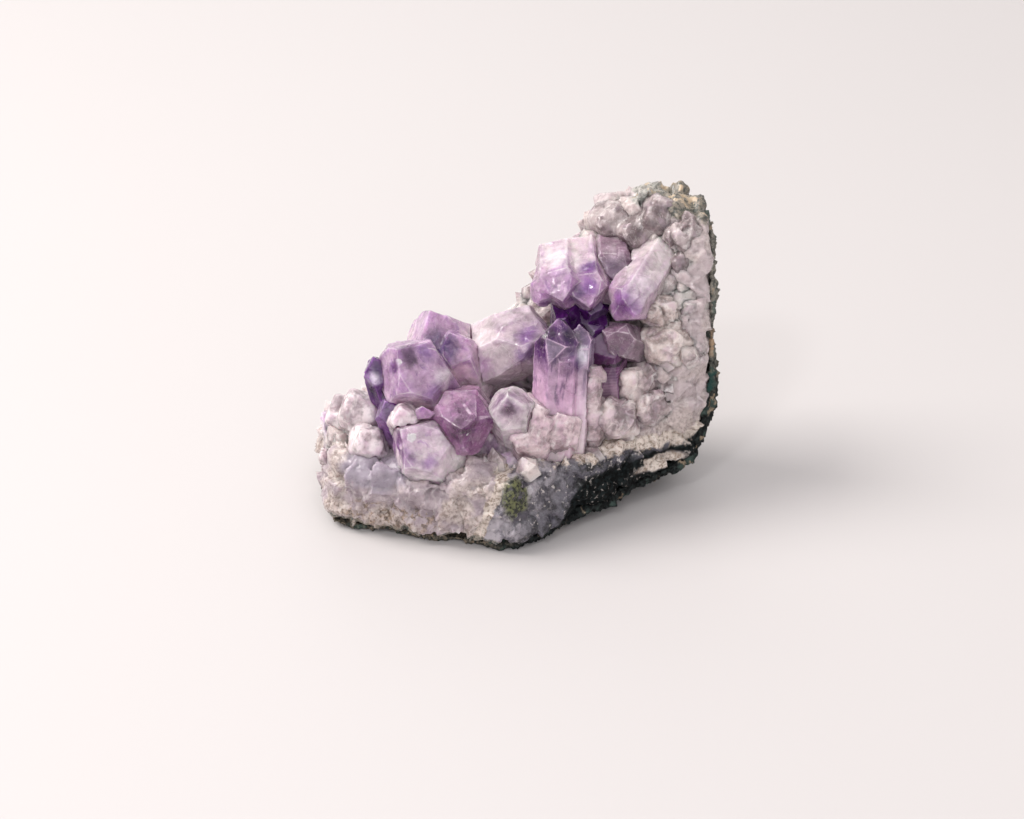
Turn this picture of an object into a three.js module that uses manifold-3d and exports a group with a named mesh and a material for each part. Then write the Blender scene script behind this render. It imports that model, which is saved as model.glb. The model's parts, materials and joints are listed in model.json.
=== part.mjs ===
// A hand-sized amethyst cluster: a broken piece of geode wall that stands on its own underside.
// Millimetres, +Z up. The origin is on the surface that the piece stands on, under the middle of the piece.
//
// The wall is an L: a low bed on the left and front, and a tall back that rises on the right.
// Outside it wears a dark crust of the lava that the geode grew in. Inside it is lined with milky quartz,
// and the amethyst points grow out of that lining towards the middle of the old cavity.
import * as THREE from "three";
import { ConvexGeometry } from "three/addons/geometries/ConvexGeometry.js";
import { mergeVertices } from "three/addons/utils/BufferGeometryUtils.js";
import Module from "manifold-3d";

const wasm = await Module();
wasm.setup();

// ---------------------------------------------------------------- driving dimensions
const GAP = 0.3; // clearance between neighbouring crystals
const SEAM = 0.6; // clearance between the crust and what it covers
const CELL = 4; // spacing of the grid that the broken rock is meshed on
const SMOOTH_CELL = 5.5; // the same for the smoother surface between crust and quartz
const PINCH_DEPTH = 0.4; // how deep a place is filled where the rock's surface would pinch

// Room for the whole wall, with some to spare on every side.
const BOX = { low: [-55, -40, -18], high: [56, 47, 77] };

// Flat faces that bound the piece. Each is a point on the face, the way it faces, how rough it is
// and, for one that breaks off only what stands above the low bed, the height where it ends.
const BREAKS = [
  { at: [-4, -22.2, 0], faces: [-0.27, -0.95, -0.05], rough: 1.3 }, // front, left of the corner
  { at: [-1, -21.9, 0], faces: [0.56, -0.82, 0.02], rough: 1.3 }, // front, right of the corner
  { at: [-38, 0, 6], faces: [-0.97, -0.1, 0.2], rough: 1.2 }, // left end
  { at: [-20, 19, 8], faces: [-0.25, 0.96, 0.12], rough: 1.4 }, // behind the low bed
  { at: [6.6, 14, 44], faces: [-0.8, 0.1, 0.58], rough: 1.0, above: 19 }, // left shoulder of the tall back
  { at: [22, 24, 57.2], faces: [0.13, -0.17, 0.97], rough: 0.9 }, // top of the tall back
];

// The crusted outside: where its right side is, and a point on its back and the way the back faces.
// The underside climbs towards the right, and one knob stands out on the right side.
const SKIN = {
  right: 36.6,
  back: [14, 27, 30],
  backFaces: [0.42, 0.88, -0.2],
  blend: 6, // how widely the corner between right side and back is rounded
  edgeBlend: 3.6, // the same round the underside
  rough: 1.1,
  lump: 7,
  climb: { from: 8, to: 34, by: 3.6 },
  knob: { at: [37, 13, 20], size: 6, height: 3 },
};

// How thick the dark crust is: thin under the left end, thicker under the right, and thin again up the side.
const CRUST = { thin: 1.4, thick: 3, from: -20, to: 12, below: 14, above: 24 };

// The lining: height of the low bed, and the face of the tall back.
const LINING = {
  bed: 15.5,
  back: [21, 12, 45],
  backFaces: [-0.45, -0.8, 0.38],
  blend: 9, // how widely the corner between bed and back is filled
  rough: 1.1,
  lump: 6,
};
const RIM_BLEND = 2; // how far the edge between skin and lining is rounded
const BREAK_BLEND = 2.5; // the same for the edges of the broken faces
const BREAK_LUMP = 5; // size of the lumps on the broken faces

// Where the underside reaches down and meets the table, and how wide each foot is.
const FEET = [
  { at: [-29, -5], radius: 8 },
  { at: [-16, -11], radius: 6 },
  { at: [-4, -14], radius: 9 },
  { at: [17, 12], radius: 10 },
];
// How far the underside rises between the feet, how deep below the table they would reach, and where each
// foot starts and ends to rise, as a share of its radius.
const ARCH = { rise: 1.3, press: 1.6, inner: 0.75, outer: 1.7 };

// A quartz point has six faces round it and six that slope to its tip at this angle. uneven and tipUneven
// say how much they differ, and held keeps every second sloping face back so that it is smaller.
const QUARTZ = { slope: THREE.MathUtils.degToRad(51.8), uneven: 0.2, held: 0.3, tipUneven: 0.12 };

// ---------------------------------------------------------------- numbers that repeat
const smooth = (from, to, x) => THREE.MathUtils.smoothstep(x, from, to);

// A fixed pseudo-random number from 0 to 1 for each whole-numbered place.
function hash(x, y, z) {
  let h = Math.imul(x, 374761393) + Math.imul(y, 668265263) + Math.imul(z, 2147483647);
  h = Math.imul(h ^ (h >>> 13), 1274126177);
  return ((h ^ (h >>> 16)) >>> 0) / 4294967295;
}

// Smooth noise from -1 to 1, one lump per unit.
function noise(x, y, z) {
  const [i, j, k] = [x, y, z].map(Math.floor);
  const [u, v, w] = [x - i, y - j, z - k].map((t) => t * t * (3 - 2 * t));
  const mix = THREE.MathUtils.lerp;
  const edge = (b, c) => mix(hash(i, j + b, k + c), hash(i + 1, j + b, k + c), u);
  return mix(mix(edge(0, 0), edge(1, 0), v), mix(edge(0, 1), edge(1, 1), v), w) * 2 - 1;
}

// Lumps of a given size with smaller lumps on them.
function lumps(p, size) {
  const [x, y, z] = [p.x / size, p.y / size, p.z / size];
  const finer = 2.3;
  return noise(x, y, z) * 0.7 + noise(x * finer + 9, y * finer, z * finer) * 0.3;
}

// The smaller of two distances with the corner between them filled, and the larger with it rounded.
function filled(a, b, reach) {
  const t = THREE.MathUtils.clamp(0.5 + (b - a) / (2 * reach), 0, 1);
  return THREE.MathUtils.lerp(b, a, t) - reach * t * (1 - t);
}
const rounded = (a, b, reach) => -filled(-a, -b, reach);

// How far p is in front of a flat face.
function infront(p, at, faces) {
  const n = new THREE.Vector3(...faces).normalize();
  return n.dot(p) - n.dot(new THREE.Vector3(...at));
}

// ---------------------------------------------------------------- the broken rock
// Height of the underside: low at the feet, arched between them, and climbing towards the right.
function underside(p) {
  const reach = FEET.map((foot) => Math.hypot(p.x - foot.at[0], p.y - foot.at[1]) / foot.radius);
  const foot = 1 - smooth(ARCH.inner, ARCH.outer, Math.min(...reach));
  const climb = SKIN.climb.by * smooth(SKIN.climb.from, SKIN.climb.to, p.x);
  return THREE.MathUtils.lerp(ARCH.rise, -ARCH.press, foot) + climb;
}

// Distance outside the crusted skin.
const knobCentre = new THREE.Vector3(...SKIN.knob.at);
function outsideSkin(p) {
  const knob = SKIN.knob.height * Math.exp(-((p.distanceTo(knobCentre) / SKIN.knob.size) ** 2));
  const right = p.x - SKIN.right - knob;
  const back = infront(p, SKIN.back, SKIN.backFaces);
  const sides = rounded(right, back, SKIN.blend);
  return rounded(sides, underside(p) - p.z, SKIN.edgeBlend) + SKIN.rough * lumps(p, SKIN.lump);
}

// Distance outside the lining, in the old cavity.
function insideCavity(p) {
  const bed = p.z - LINING.bed;
  const back = infront(p, LINING.back, LINING.backFaces);
  return filled(bed, back, LINING.blend) + LINING.rough * lumps(p, LINING.lump);
}

// Distance outside the whole rock: outside the skin, in the cavity or beyond a broken face.
function outsideRock(p) {
  let distance = rounded(outsideSkin(p), insideCavity(p), RIM_BLEND);
  for (const face of BREAKS) {
    const ahead = infront(p, face.at, face.faces) + face.rough * lumps(p, BREAK_LUMP);
    const beyond = face.above ? Math.min(ahead, p.z - face.above) : ahead;
    distance = rounded(distance, beyond, BREAK_BLEND);
  }
  return distance;
}

// A closed mesh of the places where distance(p) is below zero: one vertex in each grid cell that the
// surface crosses, at the middle of its crossings, and one square across each crossed grid edge.
function surfaceNet(distance, { low, high }, cell) {
  const count = low.map((l, a) => Math.ceil((high[a] - l) / cell) + 1);
  const at = (i, j, k) => i + count[0] * (j + count[1] * k);
  const point = (i, j, k) => new THREE.Vector3(low[0] + i * cell, low[1] + j * cell, low[2] + k * cell);
  const value = new Float32Array(count[0] * count[1] * count[2]);
  for (let k = 0; k < count[2]; k++)
    for (let j = 0; j < count[1]; j++)
      for (let i = 0; i < count[0]; i++) value[at(i, j, k)] = distance(point(i, j, k));

  // Where two corners of a square meet only across its diagonal the surface would pinch, so that is filled.
  const strides = [at(1, 0, 0), at(0, 1, 0), at(0, 0, 1)];
  for (let pinched = true; pinched; ) {
    pinched = false;
    for (let n = 0; n < value.length - strides[1] - strides[2]; n++)
      for (const [b, c] of [[0, 1], [1, 2], [2, 0]]) {
        const square = [n, n + strides[b], n + strides[b] + strides[c], n + strides[c]];
        const [p, q, r, s] = square.map((m) => value[m] < 0);
        if (p !== r || q !== s || p === q) continue;
        const outside = square.filter((m) => value[m] >= 0);
        value[value[outside[0]] < value[outside[1]] ? outside[0] : outside[1]] = -PINCH_DEPTH;
        pinched = true;
      }
  }

  const corners = [0, 1].flatMap((c) => [0, 1].flatMap((b) => [0, 1].map((a) => [a, b, c])));
  const edges = corners.flatMap((c, n) => [0, 1, 2].filter((a) => !c[a]).map((a) => [n, n + (1 << a)]));
  const vertexOf = new Map();
  const vertices = [];
  for (let k = 0; k < count[2] - 1; k++)
    for (let j = 0; j < count[1] - 1; j++)
      for (let i = 0; i < count[0] - 1; i++) {
        const v = corners.map(([a, b, c]) => value[at(i + a, j + b, k + c)]);
        const middle = new THREE.Vector3();
        let crossings = 0;
        for (const [m, n] of edges) {
          if (v[m] < 0 === v[n] < 0) continue;
          const t = v[m] / (v[m] - v[n]);
          const [from, to] = [m, n].map((e) => new THREE.Vector3(...corners[e]));
          middle.add(from.lerp(to, t));
          crossings++;
        }
        if (!crossings) continue;
        vertexOf.set(at(i, j, k), vertices.length / 3);
        vertices.push(...point(i, j, k).addScaledVector(middle, cell / crossings).toArray());
      }

  const triangles = [];
  for (let k = 1; k < count[2] - 1; k++)
    for (let j = 1; j < count[1] - 1; j++)
      for (let i = 1; i < count[0] - 1; i++)
        for (const [a, b, c] of [[0, 1, 2], [1, 2, 0], [2, 0, 1]]) {
          const step = (axis, by) => [0, 1, 2].map((n) => (n === axis ? by : 0));
          const [u, v] = [step(b, 1), step(c, 1)];
          const next = [i, j, k].map((n, axis) => n + step(a, 1)[axis]);
          const [here, there] = [value[at(i, j, k)] < 0, value[at(...next)] < 0];
          if (here === there) continue;
          const around = [[0, 0], [1, 0], [1, 1], [0, 1]].map(([m, n]) =>
            vertexOf.get(at(i - m * u[0] - n * v[0], j - m * u[1] - n * v[1], k - m * u[2] - n * v[2])));
          const [q0, q1, q2, q3] = here ? around : around.reverse();
          triangles.push(q0, q1, q2, q0, q2, q3);
        }
  const geometry = new THREE.BufferGeometry();
  geometry.setAttribute("position", new THREE.Float32BufferAttribute(vertices, 3));
  geometry.setIndex(triangles);
  return geometry;
}

// ---------------------------------------------------------------- solids and meshes
function solidOf(geometry) {
  const bare = geometry.clone();
  bare.deleteAttribute("normal");
  bare.deleteAttribute("uv");
  const merged = mergeVertices(bare, 1e-4);
  return new wasm.Manifold(new wasm.Mesh({
    numProp: 3,
    vertProperties: new Float32Array(merged.attributes.position.array),
    triVerts: new Uint32Array(merged.index.array),
  }));
}

function geometryOf(solid) {
  const mesh = solid.getMesh();
  const geometry = new THREE.BufferGeometry();
  geometry.setAttribute("position", new THREE.BufferAttribute(new Float32Array(mesh.vertProperties), 3));
  geometry.setIndex(new THREE.BufferAttribute(new Uint32Array(mesh.triVerts), 1));
  geometry.computeVertexNormals();
  return geometry;
}

// ---------------------------------------------------------------- quartz points
// Every place where three of the planes meet that is behind all the others.
function cornersOf(planes) {
  const corners = [];
  const matrix = new THREE.Matrix3();
  for (let i = 0; i < planes.length; i++)
    for (let j = i + 1; j < planes.length; j++)
      for (let k = j + 1; k < planes.length; k++) {
        const [a, b, c] = [planes[i], planes[j], planes[k]];
        matrix.set(...a.normal.toArray(), ...b.normal.toArray(), ...c.normal.toArray());
        if (Math.abs(matrix.determinant()) < 1e-6) continue;
        const corner = new THREE.Vector3(-a.constant, -b.constant, -c.constant);
        corner.applyMatrix3(matrix.invert());
        if (planes.every((plane) => plane.distanceToPoint(corner) < 1e-5)) corners.push(corner);
      }
  return corners;
}

// One quartz point as a convex solid, from its root to its tip. turn rotates it about its axis, seed picks
// how uneven its faces are, and grow moves every face outwards.
function quartzPoint({ root, tip, across, turn, seed }, grow = 0) {
  const [from, to] = [new THREE.Vector3(...root), new THREE.Vector3(...tip)];
  const axis = to.clone().sub(from).normalize();
  const front = new THREE.Vector3(0, -1, 0.3).projectOnPlane(axis).normalize();
  front.applyAxisAngle(axis, THREE.MathUtils.degToRad(turn));
  const face = (normal, point, out) => {
    const on = point.clone().addScaledVector(normal, out + grow);
    return new THREE.Plane().setFromNormalAndCoplanarPoint(normal, on);
  };
  const planes = [face(axis.clone().negate(), from, 0)];
  for (let n = 0; n < 6; n++) {
    const out = front.clone().applyAxisAngle(axis, (n * Math.PI) / 3);
    const uneven = 1 + QUARTZ.uneven * (hash(seed, n, 3) - 0.5);
    planes.push(face(out, from, (across / 2) * uneven));
    const slope = axis.clone().multiplyScalar(Math.cos(QUARTZ.slope));
    slope.addScaledVector(out, Math.sin(QUARTZ.slope));
    const held = n % 2 ? QUARTZ.held : QUARTZ.tipUneven * hash(seed, n, 7);
    planes.push(face(slope, to, (held * across) / 2));
  }
  return solidOf(new ConvexGeometry(cornersOf(planes)));
}

// ---------------------------------------------------------------- the crystals
// Each piece is one point or a few that grew through each other. Pieces that come first keep their shape,
// and those after them stop short where they meet.
const PIECES = {
  amethyst_left_twins: { colour: 0xa583cc, points: [
    { root: [-14.5, 3, 16], tip: [-22.5, -11, 36.4], across: 12.6, turn: 35, seed: 11 },
    { root: [-13, 8, 15], tip: [-17.5, 3, 37.3], across: 12.5, turn: 25, seed: 12 },
    { root: [-9, 3, 21], tip: [-13.5, -2, 35.5], across: 6.5, turn: 0, seed: 13 },
  ] },
  amethyst_far_left: { colour: 0x8f63bd, points: [
    { root: [-23.5, -2, 15], tip: [-27.3, -7, 33], across: 5.5, turn: 10, seed: 14 },
    { root: [-22, -6, 13], tip: [-25.4, -11, 26], across: 5, turn: 10, seed: 34 },
  ] },
  amethyst_front_pale: { colour: 0xd3bfe2, points: [
    { root: [-11.5, -8, 8], tip: [-22, -18, 23.5], across: 11, turn: 20, seed: 15 },
  ] },
  amethyst_front_facing: { colour: 0xa583cc, points: [
    { root: [-10.5, -5, 20], tip: [-11.5, -19.5, 25], across: 11.2, turn: 5, seed: 16 },
  ] },
  amethyst_long: { colour: 0xc2addb, points: [
    { root: [-14.5, 8, 22], tip: [6, 0, 36.4], across: 12.2, turn: -60, seed: 17 },
  ] },
  amethyst_centre_column: { colour: 0x9a76c6, points: [
    { root: [5.5, -9, 12], tip: [6.8, -5, 40], across: 8, turn: 10, seed: 18 },
    { root: [9.5, -8, 12], tip: [10.6, -5, 38.5], across: 5.5, turn: 10, seed: 39 },
    { root: [7.5, -10, 12], tip: [8.3, -7.2, 36.5], across: 4.6, turn: 0, seed: 38 },
  ] },
  amethyst_striped: { colour: 0x7d5aa6, points: [
    { root: [16.5, 1, 15], tip: [14.8, -1, 36.5], across: 7.5, turn: 0, seed: 19 },
  ] },
  quartz_window_point: { colour: 0xdcd0e6, points: [
    { root: [-1, -8, 18], tip: [-2.6, -16, 29.4], across: 8, turn: 0, seed: 20 },
  ] },
  quartz_centre_stubs: { colour: 0xdcc9df, points: [
    { root: [2, -7, 13], tip: [1, -14, 27.5], across: 10.5, turn: 0, seed: 21 },
    { root: [7.5, -5, 12], tip: [6.5, -12.5, 24.5], across: 8, turn: 15, seed: 22 },
  ] },
  quartz_sliver: { colour: 0xd9cfe4, points: [
    { root: [12, -5, 15], tip: [11.6, -6, 31.5], across: 5.5, turn: 0, seed: 23 },
  ] },
  amethyst_upper_pair: { colour: 0xb595d3, points: [
    { root: [11, 14, 45.2], tip: [12.2, -2, 42], across: 7.8, turn: 0, seed: 24 },
    { root: [7.6, 13, 44.4], tip: [7.4, -2, 42.8], across: 8.3, turn: 20, seed: 25 },
    { root: [6, 12, 42], tip: [3.6, 0, 42], across: 5, turn: 0, seed: 26 },
  ] },
  amethyst_upper_dark: { colour: 0x7b5a94, points: [
    { root: [17.2, 18, 44.8], tip: [17.2, 4, 43.9], across: 8, turn: 0, seed: 27 },
    { root: [17.3, 12, 41.6], tip: [16, 0, 41.2], across: 4.5, turn: 0, seed: 28 },
  ] },
  amethyst_upper_bright: { colour: 0xb28fd6, points: [
    { root: [25.5, 12.5, 45.3], tip: [17.5, -4, 40], across: 8.2, turn: 0, seed: 29 },
  ] },
  amethyst_recess: { colour: 0x5d3596, points: [
    { root: [13, 12, 37], tip: [12.8, -1, 39.2], across: 6, turn: 0, seed: 30 },
    { root: [9.5, 9, 35], tip: [8, -1.5, 38.6], across: 6.4, turn: 15, seed: 33 },
    { root: [14.5, 8, 32.5], tip: [13.4, -2.5, 36.4], across: 5.6, turn: -10, seed: 34 },
  ] },
  amethyst_lower_right: { colour: 0xc0a5cf, points: [
    { root: [22, 5, 29.5], tip: [15.8, -4, 36.3], across: 6.5, turn: 0, seed: 31 },
  ] },
  quartz_right_points: { colour: 0xcfc8d4, points: [
    { root: [29.3, 5.6, 29.6], tip: [24, -2, 35], across: 7.5, turn: 0, seed: 41 },
    { root: [29.5, 11, 36], tip: [24.1, 0, 38.6], across: 5.6, turn: 10, seed: 42 },
    { root: [31.6, 6.2, 27.8], tip: [29, 2, 31], across: 6.2, turn: 20, seed: 43 },
    { root: [32, 9, 36.6], tip: [30.3, 4, 37.6], across: 5.2, turn: 5, seed: 44 },
  ] },
  quartz_lower_points: { colour: 0xd5cad6, points: [
    { root: [24.5, 5, 21], tip: [19.4, -4, 27.4], across: 6, turn: 0, seed: 45 },
    { root: [26, 4, 15], tip: [22.3, -4, 23.4], across: 6.2, turn: 15, seed: 46 },
    { root: [20, 0, 14], tip: [16.5, -8, 24], across: 5.5, turn: 0, seed: 47 },
  ] },
  quartz_top_points: { colour: 0xd0ccd4, points: [
    { root: [18.6, 20.4, 48.4], tip: [15, 14, 51.5], across: 6.5, turn: 0, seed: 51 },
    { root: [23.2, 17.4, 47.5], tip: [19.6, 11, 50.6], across: 7, turn: 12, seed: 52 },
    { root: [27.1, 18.4, 50.3], tip: [23.5, 12, 53.4], across: 6.6, turn: 25, seed: 53 },
  ] },
  quartz_edge_points: { colour: 0xd0ccd4, points: [
    { root: [31.2, 12, 49.6], tip: [29, 8, 51.5], across: 6, turn: 15, seed: 55 },
    { root: [31, 11, 44.4], tip: [29, 7, 46.2], across: 6.4, turn: 0, seed: 56 },
  ] },
  quartz_left_points: { colour: 0xd9d2dc, points: [
    { root: [-28, 0, 12], tip: [-32, -6, 24.5], across: 7, turn: 0, seed: 61 },
    { root: [-31, 2, 10], tip: [-35, -1, 21.5], across: 6.5, turn: 10, seed: 62 },
    { root: [-27, -6, 10], tip: [-30, -12, 20.5], across: 6, turn: 20, seed: 63 },
  ] },
  quartz_bud: { colour: 0xdcd0e6, points: [
    { root: [-19.5, -7, 13], tip: [-22.5, -15, 26.8], across: 5.5, turn: 0, seed: 64 },
  ] },
  amethyst_bud: { colour: 0xa583cc, points: [
    { root: [-16, -8, 14], tip: [-18.5, -15.5, 27.2], across: 4.4, turn: 0, seed: 65 },
  ] },
};

// ---------------------------------------------------------------- putting it together
const joined = (solids) => solids.reduce((a, b) => a.add(b));
const largest = (solid) => solid.decompose().sort((a, b) => b.volume() - a.volume())[0];

const cluster = new THREE.Group();
function addPiece(name, solid, colour, roughness) {
  const material = new THREE.MeshStandardMaterial({ color: colour, roughness, metalness: 0 });
  const mesh = new THREE.Mesh(geometryOf(largest(solid)), material);
  mesh.name = name;
  cluster.add(mesh);
}

// The whole rock, cut off level where its feet meet the table.
const table = new THREE.BoxGeometry(300, 300, 40).translate(0, 0, -20);
const rock = solidOf(surfaceNet(outsideRock, BOX, CELL)).subtract(solidOf(table));

// What lies deeper in the rock than the crust is thick.
function crustAt(p) {
  const low = 1 - smooth(CRUST.below, CRUST.above, p.z);
  return THREE.MathUtils.lerp(CRUST.thin, CRUST.thick, low * smooth(CRUST.from, CRUST.to, p.x));
}
const depths = (grow) => (p) =>
  Math.max(Math.max(outsideSkin(p), -p.z) + crustAt(p) - grow, outsideRock(p) - SMOOTH_CELL);
const insideCrust = (grow) => solidOf(surfaceNet(depths(grow), BOX, SMOOTH_CELL));

let taken = null;
for (const [name, { colour, points }] of Object.entries(PIECES)) {
  const whole = joined(points.map((point) => quartzPoint(point)));
  addPiece(name, taken ? whole.subtract(taken) : whole, colour, 0.12);
  const socket = joined(points.map((point) => quartzPoint(point, GAP)));
  taken = taken ? taken.add(socket) : socket;
}
addPiece("quartz_wall", rock.intersect(insideCrust(0)).subtract(taken), 0xbfb9bd, 0.6);
addPiece("lava_crust", rock.subtract(insideCrust(SEAM)).subtract(taken), 0x2f3a36, 0.9);

// The origin goes under the middle of the whole piece.
const room = new THREE.Box3().setFromObject(cluster);
const middle = room.getCenter(new THREE.Vector3());
cluster.position.set(-middle.x, -middle.y, -room.min.z);

const group = new THREE.Group();
group.add(cluster);
export default group;
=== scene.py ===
import json
import math
import random
import bmesh
import bpy
import numpy as np
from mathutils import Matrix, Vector
from mathutils.bvhtree import BVHTree
from mathutils.kdtree import KDTree

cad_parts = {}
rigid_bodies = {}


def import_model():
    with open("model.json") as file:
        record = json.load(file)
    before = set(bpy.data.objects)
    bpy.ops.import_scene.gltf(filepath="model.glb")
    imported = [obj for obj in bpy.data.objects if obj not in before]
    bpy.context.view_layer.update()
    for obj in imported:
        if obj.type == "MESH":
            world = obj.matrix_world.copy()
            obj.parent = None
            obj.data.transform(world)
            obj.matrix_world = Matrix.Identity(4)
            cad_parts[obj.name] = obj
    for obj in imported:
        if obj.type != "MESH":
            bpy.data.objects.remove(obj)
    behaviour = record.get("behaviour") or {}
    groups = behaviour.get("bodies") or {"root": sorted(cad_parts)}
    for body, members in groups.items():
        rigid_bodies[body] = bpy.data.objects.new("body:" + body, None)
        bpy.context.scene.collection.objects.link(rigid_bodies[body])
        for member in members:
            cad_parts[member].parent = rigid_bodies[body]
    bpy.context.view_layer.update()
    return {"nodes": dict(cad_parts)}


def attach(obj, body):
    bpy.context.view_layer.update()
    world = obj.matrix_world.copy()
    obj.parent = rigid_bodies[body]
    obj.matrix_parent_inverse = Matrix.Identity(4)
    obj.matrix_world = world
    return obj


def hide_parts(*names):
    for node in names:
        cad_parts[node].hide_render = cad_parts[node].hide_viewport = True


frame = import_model()
mm = 0.001
middle = Vector((-0.7978, 1.5092, 0))  # the cluster was laid out round this point, in mm
quartzIor = 1.545


# ---- nodes: one class for a socket, one for a tree of nodes
class Wire:
    def __init__(self, tree, socket):
        self.tree = tree
        self.socket = socket

    def out(self, name):  # another output of the same node
        return Wire(self.tree, self.socket.node.outputs[name])

    def math(self, operation, *values, clamp=False):
        settings = {"operation": operation, "use_clamp": clamp}
        return self.tree.add("ShaderNodeMath", settings, dict(enumerate(values)))

    def __add__(self, other):
        return self.math("ADD", self, other)

    def __radd__(self, other):
        return self.math("ADD", other, self)

    def __sub__(self, other):
        return self.math("SUBTRACT", self, other)

    def __rsub__(self, other):
        return self.math("SUBTRACT", other, self)

    def __mul__(self, other):
        return self.math("MULTIPLY", self, other)

    def __truediv__(self, other):
        return self.math("DIVIDE", self, other)

    def __rtruediv__(self, other):
        return self.math("DIVIDE", other, self)

    def __pow__(self, other):
        return self.math("POWER", self, other)

    def __abs__(self):
        return self.math("ABSOLUTE", self)

    def least(self, other):
        return self.math("MINIMUM", self, other)

    def most(self, other):
        return self.math("MAXIMUM", self, other)

    def clamped(self):
        return self.math("ADD", self, 0.0, clamp=True)

    # goes smoothly from start to end as this goes from low to high
    def ramp(self, low, high, start=0.0, end=1.0):
        sockets = {0: self, 1: low, 2: high, 3: start, 4: end}
        return self.tree.add("ShaderNodeMapRange", {"interpolation_type": "SMOOTHSTEP"}, sockets)


class Nodes:
    def __init__(self, nodeTree):
        self.nodeTree = nodeTree
        nodeTree.nodes.clear()

    def add(self, kind, settings=None, sockets=None, out=0):
        node = self.nodeTree.nodes.new(kind)
        for name, value in (settings or {}).items():
            setattr(node, name, value)
        for name, value in (sockets or {}).items():
            if isinstance(value, Wire):
                self.nodeTree.links.new(value.socket, node.inputs[name])
            else:
                node.inputs[name].default_value = value
        return Wire(self, node.outputs[out]) if len(node.outputs) else node

    def vector(self, operation, *values, out=0):
        return self.add("ShaderNodeVectorMath", {"operation": operation}, dict(enumerate(values)), out)

    def scaled(self, vector, by):
        return self.add("ShaderNodeVectorMath", {"operation": "SCALE"}, {0: vector, 3: by})

    def dot(self, a, b):
        return self.add("ShaderNodeVectorMath", {"operation": "DOT_PRODUCT"}, {0: a, 1: b}, out=1)

    def mix(self, amount, a, b, blend="MIX"):
        settings = {"data_type": "RGBA", "blend_type": blend, "clamp_factor": True}
        return self.add("ShaderNodeMix", settings, {0: amount, 6: a, 7: b}, out=2)

    def noise(self, where, size, detail=2.0, roughness=0.5, distortion=0.0, colour=False):
        sockets = {"Vector": where, "Scale": 1 / size, "Detail": detail,
                   "Roughness": roughness, "Distortion": distortion}
        return self.add("ShaderNodeTexNoise", {}, sockets, out=1 if colour else 0)

    # A surface of small flat faces, each tilted its own way: about -1 to 1 high
    def facets(self, where, size):
        cell = self.add("ShaderNodeTexVoronoi", {}, {"Vector": where, "Scale": 1 / size})
        offset = self.vector("SUBTRACT", where, cell.out("Position"))
        lean = self.vector("SUBTRACT", cell.out("Color"), (0.5, 0.5, 0.5))
        return self.dot(offset, lean) * (2 / size)


def startFinish(name):
    material = bpy.data.materials.new(name)
    material.use_nodes = True
    return material, Nodes(material.node_tree)


def colour(hexCode):  # a screen colour as linear numbers
    parts = [int(hexCode[i:i + 2], 16) / 255 for i in (0, 2, 4)]
    linear = [p / 12.92 if p <= 0.04045 else ((p + 0.055) / 1.055) ** 2.4 for p in parts]
    return (*linear, 1.0)


def place(x, y, z):  # a point of the layout as a point of the scene
    return (Vector((x, y, z)) - middle) * mm


# ---- camera, light and floor
view = {"eye": (-1.9, -406.6, 234.9), "target": (-1.9, 0, 18.7), "lens": 85}
lights = {
    "window": {"at": (-0.6, 0.07, 0.74), "size": 0.5, "power": 8.6, "tint": "fffaf6"},
    "back": {"at": (-0.1, 0.95, 0.5), "size": 0.6, "power": 1.4, "tint": "fffdfc"},
    "fill": {"at": (0.1, -0.95, 0.5), "size": 0.9, "power": 3.0, "tint": "fbf9ff"},
    "spark": {"at": (-0.3, -0.62, 0.7), "size": 0.1, "power": 1.3, "tint": "ffffff"},
}
room = {"overhead": 0.86, "horizon": 0.66, "tint": "f6f1f0"}


def addCamera():
    camera = bpy.data.objects.new("camera", bpy.data.cameras.new("camera"))
    bpy.context.scene.collection.objects.link(camera)
    camera.data.lens = view["lens"]
    camera.data.sensor_width = 36
    camera.data.clip_start = 0.01
    eye = place(*view["eye"])
    camera.location = eye
    camera.rotation_euler = (place(*view["target"]) - eye).to_track_quat("-Z", "Y").to_euler()
    bpy.context.scene.camera = camera


def addLights():
    for name, light in lights.items():
        lamp = bpy.data.objects.new(name, bpy.data.lights.new(name, "AREA"))
        bpy.context.scene.collection.objects.link(lamp)
        lamp.data.size = light["size"]
        lamp.data.energy = light["power"]
        lamp.data.color = colour(light["tint"])[:3]
        lamp.location = light["at"]
        lamp.rotation_euler = (-Vector(light["at"])).to_track_quat("-Z", "Y").to_euler()
    world = bpy.data.worlds.new("room")
    world.use_nodes = True
    nodes = Nodes(world.node_tree)
    towards = nodes.add("ShaderNodeTexCoord", out="Generated")
    up = nodes.add("ShaderNodeSeparateXYZ", {}, {0: towards}, out="Z")
    strength = up.ramp(0.0, 0.9, room["horizon"], room["overhead"])
    glow = nodes.add("ShaderNodeBackground", {}, {"Color": colour(room["tint"]), "Strength": strength})
    nodes.add("ShaderNodeOutputWorld", {}, {"Surface": glow})
    bpy.context.scene.world = world


def addFloor():
    mesh = bpy.data.meshes.new("floor")
    mesh.from_pydata([(-3, -3, 0), (3, -3, 0), (3, 3, 0), (-3, 3, 0)], [], [(0, 1, 2, 3)])
    floor = bpy.data.objects.new("floor", mesh)
    bpy.context.scene.collection.objects.link(floor)
    material, nodes = startFinish("paper")
    where = nodes.add("ShaderNodeTexCoord", out="Object")
    tone = nodes.noise(where, 0.2)
    paper = nodes.mix(tone, colour("c6c3c3"), colour("c4c1c1"))
    surface = nodes.add("ShaderNodeBsdfPrincipled", {}, {"Base Color": paper, "Roughness": 0.8})
    nodes.add("ShaderNodeOutputMaterial", {}, {"Surface": surface})
    floor.data.materials.append(material)


bpy.context.scene.view_settings.view_transform = "Standard"
addCamera()
addLights()
addFloor()
print("stage set")


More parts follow.
